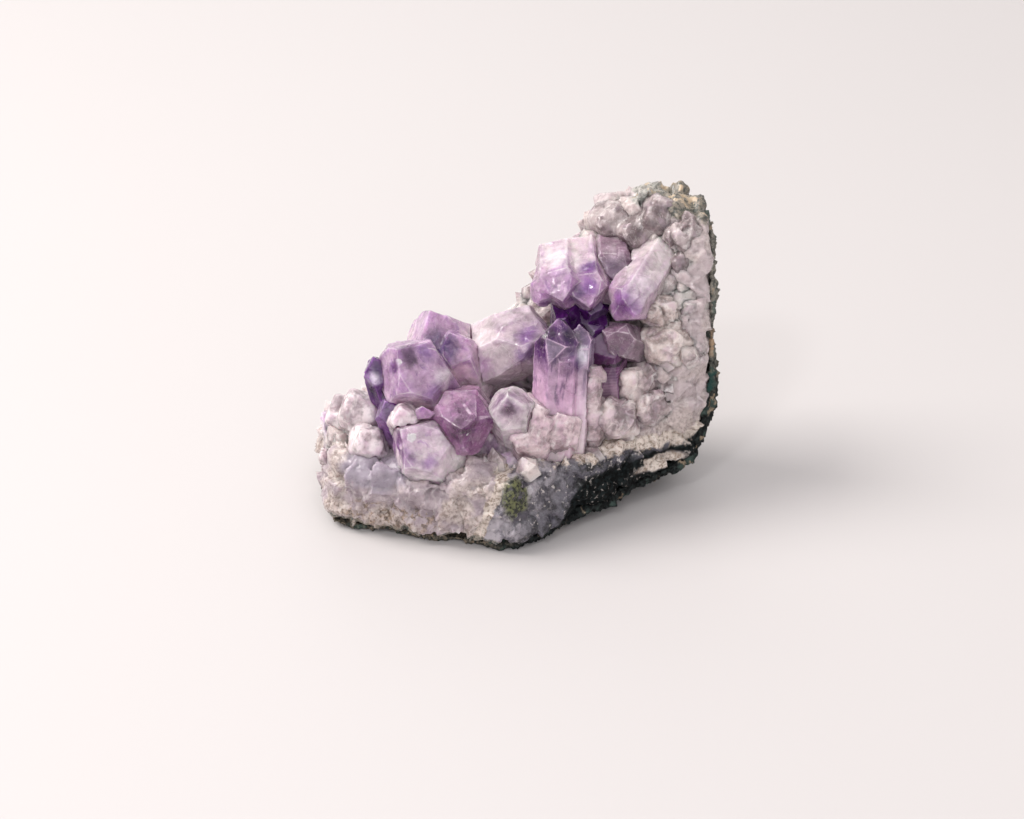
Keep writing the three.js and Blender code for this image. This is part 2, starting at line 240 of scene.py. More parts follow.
# ---- shared shape helpers
def bareCopy(node, name):  # the node's solid as a new merged mesh
    mesh = frame["nodes"][node].data.copy()
    mesh.name = name
    mesh.materials.clear()
    shape = bmesh.new()
    shape.from_mesh(mesh)
    bmesh.ops.remove_doubles(shape, verts=shape.verts, dist=2e-6)
    shape.to_mesh(mesh)
    shape.free()
    piece = bpy.data.objects.new(name, mesh)
    bpy.context.scene.collection.objects.link(piece)
    return piece


def settle(piece):  # what the modifiers make becomes the mesh itself
    depsgraph = bpy.context.evaluated_depsgraph_get()
    mesh = bpy.data.meshes.new_from_object(piece.evaluated_get(depsgraph), depsgraph=depsgraph)
    piece.modifiers.clear()
    piece.data = mesh
    return piece


def hand(piece, node):  # gives the piece its place in the cluster
    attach(piece, "root")
    if node:
        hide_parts(node)


def treeFor(piece, name, inputs):  # a Geometry Nodes modifier with an empty tree and named inputs
    tree = bpy.data.node_groups.new(name, "GeometryNodeTree")
    tree.interface.new_socket("Geometry", in_out="INPUT", socket_type="NodeSocketGeometry")
    tree.interface.new_socket("Geometry", in_out="OUTPUT", socket_type="NodeSocketGeometry")
    kinds = {float: "NodeSocketFloat", int: "NodeSocketInt"}
    modifier = piece.modifiers.new(name, "NODES")
    modifier.node_group = tree
    for label, value in inputs.items():
        socket = tree.interface.new_socket(label, in_out="INPUT", socket_type=kinds[type(value)])
        modifier[socket.identifier] = value
    nodes = Nodes(tree)
    given = nodes.add("NodeGroupInput")
    return nodes, given


# ---- the broken rock
# lump, block, facet and grain each say how wide and how high, in mm. fill closes the gaps between points.
rockLook = {
    "quartz_wall": {"voxel": 0.42, "swell": 0.25,
        "lump": (7.0, 1.4), "block": (4.4, 1.7), "facet": (1.8, 0.36), "grain": (0.95, 0.1)},
    "lava_crust": {"voxel": 0.42, "swell": 0.2,
        "lump": (4.0, 1.7), "block": (3.1, 0.5), "facet": (1.5, 0.45), "grain": (0.8, 0.3)},
    "points": {"voxel": 0.32, "swell": 0.75,
        "lump": (5.0, 0.25), "block": (4.2, 1.1), "facet": (2.2, 0.4), "grain": (0.8, 0.04)},
    "quartz_top_points": {"voxel": 0.34, "swell": 0.9, "fill": 1.6,
        "lump": (6.0, 0.3), "block": (5.0, 0.5), "facet": (1.8, 0.2), "grain": (0.8, 0.04)},
    "quartz_left_points": {"voxel": 0.3, "swell": 0.6,
        "lump": (5.0, 0.3), "block": (3.6, 0.55), "facet": (1.8, 0.14), "grain": (0.8, 0.02)},
    "quartz_bud": {"voxel": 0.26, "swell": 0.1,
        "lump": (5.0, 0.2), "block": (3.0, 0.35), "facet": (1.5, 0.1), "grain": (0.8, 0.02)},
    "quartz_centre_stubs": {"voxel": 0.3, "swell": 0.2,
        "lump": (5.0, 0.3), "block": (4.4, 0.6), "facet": (1.8, 0.14), "grain": (0.8, 0.03)},
}


def roughen(piece, look, finish):
    flatKinds = ("block", "facet", "grain")
    inputs = {"Swell": look["swell"] * mm}
    for kind in ("lump", *flatKinds):
        inputs[kind + " size"], inputs[kind + " height"] = [value * mm for value in look[kind]]
    nodes, given = treeFor(piece, "roughen_" + piece.name, inputs)
    where = nodes.add("GeometryNodeInputPosition")
    lump = nodes.add("ShaderNodeTexNoise", {}, {
        "Vector": where, "Scale": 1.0 / given.out("lump size"), "Detail": 3.0})
    height = (lump - 0.5) * 2 * given.out("lump height") + given.out("Swell")
    for kind in flatKinds:
        height = height + nodes.facets(where, given.out(kind + " size")) * given.out(kind + " height")
    offset = nodes.scaled(nodes.add("GeometryNodeInputNormal"), height)
    moved = nodes.add("GeometryNodeSetPosition", {}, {"Geometry": given.out("Geometry"), "Offset": offset})
    final = nodes.add("GeometryNodeSetMaterial", {}, {"Geometry": moved, "Material": finish})
    nodes.add("NodeGroupOutput", {}, {"Geometry": final})


def evened(piece, voxel):  # the same solid in small even faces
    remesh = piece.modifiers.new("even", "REMESH")
    remesh.mode = "VOXEL"
    remesh.voxel_size = voxel * mm
    return settle(piece)


def makeRock(node, name, finish):
    look = rockLook.get(node, rockLook["points"])
    piece = evened(bareCopy(node, name), look["voxel"])
    if "fill" in look:  # closes narrow gaps: swollen, made one, and drawn back
        for by in (look["fill"], -look["fill"]):
            push = piece.modifiers.new("push", "DISPLACE")
            push.strength = by * mm
            push.mid_level = 0.0
            evened(piece, look["voxel"])
    roughen(piece, look, finish)
    settle(piece)
    for vertex in piece.data.vertices:
        vertex.co.z = max(vertex.co.z, 0.0)
    piece.data.shade_smooth()
    hand(piece, node)
    print(name, len(piece.data.polygons))
    return piece


# Stretches of the broken front that differ from the rest: middle and half sizes, in mm in the layout
patches = {
    "blueQuartz": ((-27.5, -16, 14), (6.5, 7, 4.0)),
    "greyQuartz": ((-5.5, -22, 19), (6.5, 7, 4.5)),
    "stains": ((-24.5, -17, 5.2), (11, 9, 3.2)),
    "celadonite": ((-1, -21.5, 11.5), (2.6, 4, 4.8)),
    "streak": ((26, -3, 8.8), (6.5, 6, 1.3)),
}


def quartzMatrixFinish():
    material, nodes = startFinish("sugary_quartz")
    where = nodes.add("ShaderNodeTexCoord", out="Object")
    layout = nodes.vector("ADD", nodes.scaled(where, 1 / mm), tuple(middle))
    x = nodes.add("ShaderNodeSeparateXYZ", {}, {0: layout})
    low = x.out("Z").ramp(24, 13)
    broad = nodes.noise(where, 6 * mm, 3.0)
    medium = nodes.noise(where, 2.6 * mm, 4.0, 0.6)
    fine = nodes.noise(where, 0.8 * mm, 4.0, 0.65)
    wander = (broad - 0.5) * 3.4 + (medium - 0.5) * 3.0 + (fine - 0.5) * 1.2

    def patch(name, sharp=0.25):  # 1 inside the named stretch, 0 outside
        centre, sizes = patches[name]
        offset = nodes.vector("SUBTRACT", layout, centre)
        reach = nodes.vector("LENGTH", nodes.vector("DIVIDE", offset, sizes), out=1)
        return (reach + wander * 0.22).ramp(1 + sharp, 1 - sharp)

    depth = nodes.add("ShaderNodeAttribute", {"attribute_name": "skinDepth"}, out="Fac") * 1000
    y, z = x.out("Y"), x.out("Z")
    sugar = nodes.mix(fine.ramp(0.34, 0.66), colour("93857f"), colour("c9bdb8"))
    glassy = nodes.mix(medium.ramp(0.35, 0.65), colour("92848b"), colour("b8abb0"))
    body = nodes.mix(broad.ramp(0.42, 0.58), sugar, glassy)
    body = nodes.mix(z.ramp(10, 24) * 0.6, body, colour("c7baba"))
    veins = abs(nodes.noise(where, 5 * mm, 2.0, 0.5, 0.2) - 0.5).ramp(0.03, 0.0)
    body = nodes.mix(veins * 0.3, body, colour("e2d9d7"))
    body = nodes.mix(patch("blueQuartz"), body, nodes.mix(medium, colour("8b8290"), colour("b5abb5")))
    body = nodes.mix(patch("greyQuartz"), body, nodes.mix(medium, colour("85777f"), colour("b8abb1")))
    # Agate under the quartz: up to this height, from the front corner to the right
    agateTop = x.ramp(-12, -1, -4, 16.8) - x.ramp(0, 34, 0, 4)
    below = agateTop - z + wander * 1.5 + y.ramp(4, 8, 0, -30)
    cream = nodes.mix(fine.ramp(0.36, 0.58), colour("9c8d80"), colour("dbd0c7"))
    body = nodes.mix((below + x.ramp(-4, 3, 4.5, 2.2)).ramp(-0.3, 0.4), body, cream)
    dusk = (x * 0.7 - z * 0.45 + wander * 1.6).ramp(-6, 3)
    chalcedony = nodes.mix(dusk, nodes.mix(medium.ramp(0.4, 0.58), colour("56525c"), colour("aca6ac")),
                           nodes.mix(medium.ramp(0.4, 0.58), colour("121418"), colour("5c5a64")))
    flecks = nodes.noise(where, 0.7 * mm, 3.0).ramp(0.58, 0.66) * nodes.noise(where, 3 * mm).ramp(0.42, 0.6)
    body = nodes.mix(below.ramp(0.8, 1.6), body, nodes.mix(flecks * 0.8, chalcedony, colour("cfc8c4")))
    night = nodes.mix(fine.ramp(0.42, 0.62), colour("060808"), colour("1c2324"))
    nightTop = x.ramp(2, 13, -3, 11.5) + wander * 0.9
    streak = patch("streak")
    nearSkin = (depth + wander * 0.4).ramp(0.4, -0.4)
    dark = ((nightTop - z).ramp(-0.6, 0.6) * y.ramp(8, 5)).most(nearSkin) * (1 - streak)
    body = nodes.mix(streak, body, cream)
    rim = (z + x * 0.23 + wander * 0.45).ramp(59.2, 59.9)
    stone = nodes.mix(x.ramp(23, 29), nodes.mix(fine.ramp(0.35, 0.65), colour("858580"), colour("b3b0aa")),
                      nodes.mix(fine.ramp(0.35, 0.65), colour("51544f"), colour("948b7e")))
    stone = nodes.mix(nodes.noise(where, 2.2 * mm, 3.0).ramp(0.55, 0.62), stone, colour("b9a78f"))
    body = nodes.mix(rim, body, stone)
    olive = nodes.mix(fine.ramp(0.4, 0.62), colour("14180f"), colour("6f7348"))
    body = nodes.mix(patch("celadonite") * medium.ramp(0.38, 0.46), body, olive)
    rust = nodes.mix(fine.ramp(0.4, 0.6), colour("5c4c40"), colour("9a8470"))
    rusty = nodes.noise(where, 1.3 * mm, 4.0, 0.6).ramp(0.48, 0.6) * 0.85
    body = nodes.mix(patch("stains") * rusty, body, rust)
    skirt = (depth - 1.6 + (medium - 0.5) * 2.4).ramp(0.3, -0.3) * x.ramp(2, -6) * low
    body = nodes.mix(skirt * 0.8, body, nodes.mix(fine.ramp(0.4, 0.6), colour("3f4b45"), colour("8f8575")))
    height = nodes.facets(where, 1.2 * mm) * 0.5 + nodes.facets(where, 0.5 * mm) * 0.2 + fine * 0.2
    bump = nodes.add("ShaderNodeBump", {}, {"Height": height, "Strength": 0.8, "Distance": 0.3 * mm})
    surface = nodes.add("ShaderNodeBsdfPrincipled", {}, {
        "Base Color": body, "Roughness": fine.ramp(0.3, 0.7, 0.15, 0.45), "Normal": bump, "IOR": 1.54,
        "Subsurface Weight": 0.8, "Subsurface Radius": (1.0, 0.9, 0.95), "Subsurface Scale": 1.6 * mm})
    basalt = nodes.add("ShaderNodeBsdfPrincipled", {}, {
        "Base Color": nodes.mix(flecks * 0.7, night, colour("a9a39e")), "Roughness": 0.7, "Normal": bump,
        "Specular IOR Level": 0.12})
    surface = nodes.add("ShaderNodeMixShader", {}, {0: dark, 1: surface, 2: basalt})
    nodes.add("ShaderNodeOutputMaterial", {}, {"Surface": surface})
    return material


# The milky quartz of the lesser points, which run into the lining
def milkFinish(name, tones):
    material, nodes = startFinish(name)
    where = nodes.add("ShaderNodeTexCoord", out="Object")
    broad = nodes.noise(where, 4 * mm, 3.0)
    fine = nodes.noise(where, 1.1 * mm, 4.0, 0.6)
    shade, pale, blush = [colour(t) for t in tones]
    body = nodes.mix(broad.ramp(0.38, 0.6), shade, pale)
    body = nodes.mix(nodes.noise(where, 3 * mm, 2.0).ramp(0.52, 0.66) * 0.6, body, blush)
    veins = abs(nodes.noise(where, 3 * mm, 3.0, 0.55, 0.3) - 0.5).ramp(0.02, 0.0)
    body = nodes.mix(veins * 0.3, body, colour("f2ecec"))
    down = (-0.252, -0.604, -0.756)  # the ribs run down and forwards
    drawnOut = nodes.vector("SUBTRACT", where, nodes.scaled(down, nodes.dot(where, down) * 0.78))
    ribs = nodes.noise(drawnOut, 1.5 * mm, 3.0, 0.6)
    body = nodes.mix(ribs.ramp(0.55, 0.68) * 0.55, body, colour("ece4e3"))
    body = nodes.mix(ribs.ramp(0.45, 0.32) * 0.4, body, shade)
    height = nodes.facets(where, 1.3 * mm) * 0.5 + nodes.facets(where, 0.6 * mm) * 0.12
    height = height + fine * 0.1 + ribs * 0.5
    bump = nodes.add("ShaderNodeBump", {}, {"Height": height, "Strength": 0.5, "Distance": 0.3 * mm})
    rough = fine.ramp(0.3, 0.7, 0.06, 0.28)
    stone = nodes.add("ShaderNodeBsdfPrincipled", {}, {
        "Base Color": body, "Roughness": rough, "IOR": quartzIor, "Normal": bump,
        "Subsurface Weight": 1.0, "Subsurface Radius": (1.0, 0.9, 0.95), "Subsurface Scale": 2.6 * mm})
    glass = nodes.add("ShaderNodeBsdfPrincipled", {}, {
        "Base Color": nodes.mix(0.6, body, colour("ffffff")), "Roughness": rough, "IOR": quartzIor,
        "Normal": bump, "Transmission Weight": 1.0})
    milk = (fine * 0.5 + broad * 0.5).ramp(0.38, 0.56, 0.55, 1.0)
    surface = nodes.add("ShaderNodeMixShader", {}, {0: milk, 1: glass, 2: stone})
    nodes.add("ShaderNodeOutputMaterial", {}, {"Surface": surface})
    return material


def crustFinish():
    material, nodes = startFinish("lava_crust")
    where = nodes.add("ShaderNodeTexCoord", out="Object")
    x = nodes.add("ShaderNodeSeparateXYZ", {}, {0: nodes.scaled(where, 1 / mm)})
    fine = nodes.noise(where, 0.8 * mm, 4.0, 0.65)
    broad = nodes.noise(where, 4 * mm, 3.0)
    dark = nodes.mix(fine.ramp(0.42, 0.62), colour("0a0d0e"), colour("2c3332"))
    pale = nodes.mix(fine.ramp(0.35, 0.62), colour("50534f"), colour("9c978d"))
    dusty = nodes.mix(fine.ramp(0.4, 0.62), colour("3b423d"), colour("8d8070"))
    body = nodes.mix((x + (broad - 0.5) * 12).ramp(1, -8) * 0.75, dark, dusty)
    body = nodes.mix((x.out("Z") + (broad - 0.5) * 16).ramp(18, 32), body, pale)
    body = nodes.mix(broad.ramp(0.55, 0.62) * 0.7, body, nodes.mix(fine, colour("22302e"), colour("5c7068")))
    beige = nodes.mix(fine, colour("7d6a56"), colour("cdb9a0"))
    body = nodes.mix(nodes.noise(where, 2.4 * mm, 4.0, 0.6, 0.3).ramp(0.58, 0.68) * 0.75, body, beige)
    layout = nodes.vector("ADD", nodes.scaled(where, 1 / mm), tuple(middle))
    for centre, reach, tone in (((37, 3, 30), 4.5, "b99a7c"), ((36.5, 3, 23), 4.0, "1f4440")):
        far = nodes.vector("LENGTH", nodes.vector("SUBTRACT", layout, centre), out=1)
        body = nodes.mix((far + (broad - 0.5) * 5).ramp(reach, reach - 1.5) * 0.85, body, colour(tone))
    height = nodes.noise(where, 0.5 * mm, 3.0, 0.6) + nodes.facets(where, 0.7 * mm) * 0.4
    bump = nodes.add("ShaderNodeBump", {}, {"Height": height, "Strength": 1.0, "Distance": 0.3 * mm})
    surface = nodes.add("ShaderNodeBsdfPrincipled", {}, {
        "Base Color": body, "Roughness": 0.75, "Normal": bump, "Specular IOR Level": 0.2})
    nodes.add("ShaderNodeOutputMaterial", {}, {"Surface": surface})
    return material


def nearestTo(meshes):  # finds how far a point is from the nearest of the meshes
    vertices, faces = [], []
    for mesh in meshes:
        start = len(vertices)
        vertices += [v.co for v in mesh.vertices]
        faces += [[start + n for n in p.vertices] for p in mesh.polygons]
    tree = BVHTree.FromPolygons(vertices, faces)
    return lambda point: tree.find_nearest(point)[3]


def markEach(piece, name, values):  # keeps one number for each vertex
    attribute = piece.data.attributes.new(name, "FLOAT", "POINT")
    attribute.data.foreach_set("value", np.array(values, np.float32))


wall = makeRock("quartz_wall", "wall", quartzMatrixFinish())
toSkin = nearestTo([frame["nodes"]["lava_crust"].data])
markEach(wall, "skinDepth", [toSkin(v.co) for v in wall.data.vertices])
makeRock("lava_crust", "crust", crustFinish())
print("rock made")


# ---- quartz points. A clear one has the root and tip of each of its crystals, in mm in the layout;
# a milky one has its shade, its pale tone and its blush.
points = {
    "amethyst_left_twins": {"slot": "amethyst", "look": "lilac", "points": [
        ((-14.5, 3, 16), (-22.5, -11, 36.4)),
        ((-13, 8, 15), (-17.5, 3, 37.3)),
        ((-9, 3, 21), (-13.5, -2, 35.5))]},
    "amethyst_far_left": {"slot": "amethyst_deep", "look": "deep", "points": [
        ((-23.5, -2, 15), (-27.3, -7, 33)),
        ((-22, -6, 13), (-25.4, -11, 26))]},
    "amethyst_front_pale": {"slot": "amethyst_pale", "look": "pale", "points": [
        ((-11.5, -8, 8), (-22, -18, 23.5))]},
    "amethyst_front_facing": {"slot": "amethyst", "look": "rose", "points": [
        ((-10.5, -5, 20), (-11.5, -19.5, 25))]},
    "amethyst_long": {"slot": "amethyst_pale", "look": "grey", "points": [
        ((-14.5, 8, 22), (6, 0, 36.4))]},
    "amethyst_centre_column": {"slot": "amethyst", "look": "capped", "points": [
        ((5.5, -9, 12), (6.8, -5, 40)),
        ((9.5, -8, 12), (10.6, -5, 38.5)),
        ((7.5, -10, 12), (8.3, -7.2, 36.5))]},
    "amethyst_striped": {"slot": "amethyst_deep", "look": "striped", "points": [
        ((16.5, 1, 15), (14.8, -1, 36.5))]},
    "quartz_window_point": {"slot": "quartz", "look": "clear", "points": [
        ((-1, -8, 18), (-2.6, -16, 29.4))]},
    "quartz_centre_stubs": {"slot": "quartz", "milky": ("bfa7ae", "dccacd", "d4b5c6")},
    "quartz_sliver": {"slot": "quartz", "milky": ("bba6ab", "d8c8ca", "d0b5c3")},
    "amethyst_upper_pair": {"slot": "amethyst", "look": "violet", "points": [
        ((11, 14, 45.2), (12.2, -2, 42)),
        ((7.6, 13, 44.4), (7.4, -2, 42.8)),
        ((6, 12, 42), (3.6, 0, 42))]},
    "amethyst_upper_dark": {"slot": "amethyst_deep", "look": "smoky", "points": [
        ((17.2, 18, 44.8), (17.2, 4, 43.9)),
        ((17.3, 12, 41.6), (16, 0, 41.2))]},
    "amethyst_upper_bright": {"slot": "amethyst", "look": "violet", "points": [
        ((25.5, 12.5, 45.3), (17.5, -4, 40))]},
    "amethyst_recess": {"slot": "amethyst_deep", "look": "night", "points": [
        ((13, 12, 37), (12.8, -1, 39.2)),
        ((9.5, 9, 35), (8, -1.5, 38.6)),
        ((14.5, 8, 32.5), (13.4, -2.5, 36.4))]},
    "amethyst_lower_right": {"slot": "amethyst_pale", "look": "smoky", "points": [
        ((22, 5, 29.5), (15.8, -4, 36.3))]},
    "quartz_right_points": {"slot": "quartz", "milky": ("b5a4a0", "dbcfca", "ccb7c1")},
    "quartz_lower_points": {"slot": "quartz", "milky": ("b3a2a5", "dacdca", "ceb8c4")},
    "quartz_top_points": {"slot": "quartz", "milky": ("8c7d7f", "ada1a1", "a5949f")},
    "quartz_edge_points": {"slot": "quartz", "milky": ("948587", "b5aaaa", "ad9ca6")},
    "quartz_left_points": {"slot": "quartz", "milky": ("c3b4b9", "e0d5d7", "d6c0cf")},
    "quartz_bud": {"slot": "quartz", "milky": ("bfadb5", "dfd2d6", "d3b9ca")},
    "amethyst_bud": {"slot": "amethyst_deep", "look": "violet", "points": [
        ((-16, -8, 14), (-18.5, -15.5, 27.2))]},
}

# tip, body and root are the colours along a point, and spot that of the stains in it. reach is how far the
# tip's colour goes, in mm, tipShare and spots how strong tip and stains are, and clear how glassy it is.
looks = {
    "lilac": {"tip": "c297cc", "body": "ebd0e0", "root": "ead8df", "spot": "7b3f9c",
              "reach": 5, "tipShare": 0.6, "clear": 0.36, "spots": 0.5},
    "violet": {"tip": "b27bba", "body": "e2c8d9", "root": "d3c6c9", "spot": "6f3492",
               "reach": 5, "tipShare": 0.7, "clear": 0.36, "spots": 0.5},
    "rose": {"tip": "965899", "body": "be8cb4", "root": "dcc0d2", "spot": "5c206c",
             "reach": 7, "tipShare": 0.6, "clear": 0.38, "spots": 0.6},
    "deep": {"tip": "57206e", "body": "9a68ac", "root": "cdb0ce", "spot": "2c0a44",
             "reach": 6, "tipShare": 0.95, "clear": 0.2, "spots": 0.6, "gloss": 0.3},
    # night: very dark violet of the points deep in the recess, partly their own deep colour, partly painted
    # shade of the recess
    "night": {"tip": "3f0c52", "body": "5c2470", "root": "7d4a8c", "spot": "1c0430",
              "reach": 8, "tipShare": 0.9, "clear": 0.12, "spots": 0.7, "gloss": 0.2},
    "pale": {"tip": "d3b0d2", "body": "f1e2ea", "root": "f2e9ec", "spot": "a468b8",
             "reach": 5, "tipShare": 0.5, "clear": 0.36, "spots": 0.5},
    "grey": {"tip": "c8b1c7", "body": "dccbd5", "root": "d9cdd1", "spot": "8c5ea6",
             "reach": 5, "tipShare": 0.6, "clear": 0.34, "spots": 0.4},
    "capped": {"tip": "500e68", "body": "dfbfd7", "root": "e6d3da", "spot": "3c1060",
               "reach": 9, "tipShare": 0.95, "clear": 0.2, "spots": 0.7, "gloss": 0.3},
    # striped: dark body, partly its own deep colour, partly painted shade
    "striped": {"tip": "61306a", "body": "71406f", "root": "b698ac", "spot": "3c1850",
                "reach": 6, "tipShare": 0.5, "clear": 0.2, "spots": 0.4, "gloss": 0.3},
    "smoky": {"tip": "8d6a86", "body": "ad91a4", "root": "ccbbc2", "spot": "6a4478",
              "reach": 7, "tipShare": 0.7, "clear": 0.3, "spots": 0.4},
    "clear": {"tip": "d9c6d6", "body": "f2e6ec", "root": "f2e8ea", "spot": "a888a4",
              "reach": 6, "tipShare": 0.5, "clear": 0.4, "spots": 0.4},
}
# paintedLightSpread: how far each flat face is painted lighter or darker, as painted reflections
crystal = {"swell": 0.12, "voxel": 0.21, "absorption": 60, "paintedLightSpread": 0.16,
           "chips": 14, "chipDepth": (0.15, 0.8), "chipReach": 4.2}
crystalSkin = {"swell": 0.0,
               "lump": (4.0, 0.12), "block": (4.0, 0.22), "facet": (1.4, 0.06), "grain": (0.7, 0.02)}


def swollen(mesh, by):  # moves every flat face of the mesh outwards by the same amount
    shape = bmesh.new()
    shape.from_mesh(mesh)
    bmesh.ops.dissolve_limit(shape, angle_limit=math.radians(1.5), verts=shape.verts, edges=shape.edges)
    moves = []
    for vertex in shape.verts:
        normals = np.array([f.normal for f in vertex.link_faces])
        move = np.linalg.lstsq(normals, np.full(len(normals), by), rcond=0.2)[0]
        length = np.linalg.norm(move)
        moves.append(Vector(move * min(1.0, 2.0 * by / max(length, 1e-9))))
    for vertex, move in zip(shape.verts, moves):
        vertex.co += move
    bmesh.ops.triangulate(shape, faces=shape.faces)
    bmesh.ops.dissolve_limit(shape, angle_limit=math.radians(1.5), verts=shape.verts, edges=shape.edges)
    shape.to_mesh(mesh)
    shape.free()


# Small flat breaks at the corners and along the edges of a point
def chipped(mesh, seed, count):
    dice = random.Random(seed)
    shape = bmesh.new()
    shape.from_mesh(mesh)
    low, high = crystal["chipDepth"]
    for _ in range(count):
        whole = [e for e in shape.edges if len(e.link_faces) == 2]
        sharp = [e for e in whole if e.calc_face_angle(0) > 0.35 and e.is_convex]
        if not sharp:
            break
        edge = dice.choices(sharp, [e.calc_length() for e in sharp])[0]
        at = edge.verts[0].co.lerp(edge.verts[1].co, dice.random())
        wild = Vector([dice.uniform(-1, 1) for _ in range(3)])
        facing = (edge.link_faces[0].normal + edge.link_faces[1].normal).normalized() + 0.55 * wild
        facing.normalize()
        at -= facing * dice.uniform(low, high) * mm
        gone = [v for v in shape.verts if (v.co - at).dot(facing) > 0]
        if not gone or any((v.co - at).length > crystal["chipReach"] * mm for v in gone):
            continue
        bmesh.ops.bisect_plane(
            shape, geom=shape.verts[:] + shape.edges[:] + shape.faces[:],
            plane_co=at, plane_no=facing, clear_outer=True, dist=1e-7)
        rim = [e for e in shape.edges if e.is_boundary]
        bmesh.ops.holes_fill(shape, edges=rim, sides=0)
    bmesh.ops.recalc_face_normals(shape, faces=shape.faces)
    shape.to_mesh(mesh)
    shape.free()


# Keeps, for each vertex of the fine mesh, a random lightness of its flat face (painted light: painted
# reflections that make some faces lighter and some darker) and how far it is from the nearest edge of the
# shape
def markFaces(piece, shape, seed):
    dice = random.Random(seed)
    tones = [dice.uniform(-1, 1) * crystal["paintedLightSpread"] for _ in shape.faces]
    faces = BVHTree.FromBMesh(shape)
    along = []
    for edge in shape.edges:
        if edge.is_convex and edge.calc_face_angle(0) > 0.2:
            steps = int(edge.calc_length() / (0.15 * mm)) + 1
            along += [edge.verts[0].co.lerp(edge.verts[1].co, n / steps) for n in range(steps + 1)]
    edges = KDTree(len(along))
    for number, point in enumerate(along):
        edges.insert(point, number)
    edges.balance()
    vertices = piece.data.vertices
    markEach(piece, "paintedFacetLight", [tones[faces.find_nearest(v.co)[2]] for v in vertices])
    markEach(piece, "edge", [edges.find(v.co)[2] / mm for v in vertices])


# Single spots and clouds inside the points, and white painted glints (painted highlights): middle in the
# layout, size across, colour
marks = {
    "amethyst_left_twins": [
        ((-21.1, -10.7, 36.3), 4.2, "5a1a6a"), ((-20.2, -10.9, 35), 2.6, "4a1258"),
        ((-22.6, -12.1, 34.9), 1.3, "ffffff"), ((-23.6, -11.6, 33.6), 2.6, "6a2f7c"),
        ((-15.6, -1.5, 33.5), 5.4, "4a2474"), ((-14.8, -4, 31.5), 4.2, "5a3088"),
        ((-14.6, -9.8, 29.9), 5.4, "f6edf4"), ((-16.4, -11.6, 28.2), 4.2, "8f55a4"),
        ((-12.6, -7.4, 27.2), 4.5, "8a4fa0"), ((-17.5, -9.9, 36.2), 3.8, "9a6cb4")],
    "amethyst_far_left": [
        ((-27.6, -8.5, 29.9), 2.6, "f4eef8"), ((-28.2, -7.3, 26.5), 2.9, "2b0a44"),
        ((-26.6, -8.6, 31.4), 2.6, "3a1458")],
    "amethyst_front_pale": [
        ((-22.9, -16.2, 19.8), 3.0, "8d4f9e"), ((-21.3, -19.7, 19.2), 3.4, "a26fb0"),
        ((-22.5, -17.2, 22), 3.0, "95599f"), ((-24, -13.6, 18.2), 3.2, "a06fae"),
        ((-17.2, -19.5, 17.8), 2.8, "b890c4"), ((-20.3, -18.2, 22.6), 1.6, "ffffff")],
    "amethyst_front_facing": [
        ((-11.3, -19.3, 25.3), 4.8, "471440"), ((-9.9, -18.7, 26.2), 3.5, "6b2c66"),
        ((-10.2, -18.9, 23.6), 0.8, "ffffff"), ((-12.6, -18.6, 22.8), 2.9, "5a2058")],
    "amethyst_long": [
        ((0.9, -3.8, 32.2), 3.8, "7a4a96"), ((0.9, -3, 35.4), 4.2, "9a6cae"),
        ((-10, -1, 28), 7.2, "c9a4c8")],
    "amethyst_centre_column": [
        ((4.5, -7.3, 38), 3.5, "1d0530"), ((9, -7.3, 37.4), 4.2, "22063a"),
        ((6.7, -7.2, 38.2), 0.8, "ffffff"), ((11.4, -8.3, 34.3), 2.9, "f4f0fa"),
        ((8.9, -7.8, 33), 3.5, "5c2a7c")],
    "amethyst_upper_pair": [
        ((12.6, 3.3, 46.8), 3.8, "7b3a9c"), ((12.6, 0, 44.6), 3.5, "8a48a4"),
        ((9.8, -0.3, 43.4), 2.9, "5d2478"), ((4.4, 1.4, 41), 2.6, "7c4090"),
        ((7.2, 6, 46.8), 6.7, "f1e7ec")],
    "amethyst_upper_bright": [
        ((18.8, -3.2, 42.6), 5.1, "9a5cae"), ((21.8, -0.5, 45.4), 5.8, "e9dbe6")],
    "quartz_window_point": [
        ((-3.2, -15.4, 28.4), 5.0, "9a7c9e"), ((-2.4, -15.8, 27.4), 2.2, "6a4a68")],
    "amethyst_upper_dark": [
        # painted shade: this point lies behind its neighbours and faces down
        ((17, 5, 45.6), 5.4, "6f4c74")],
}


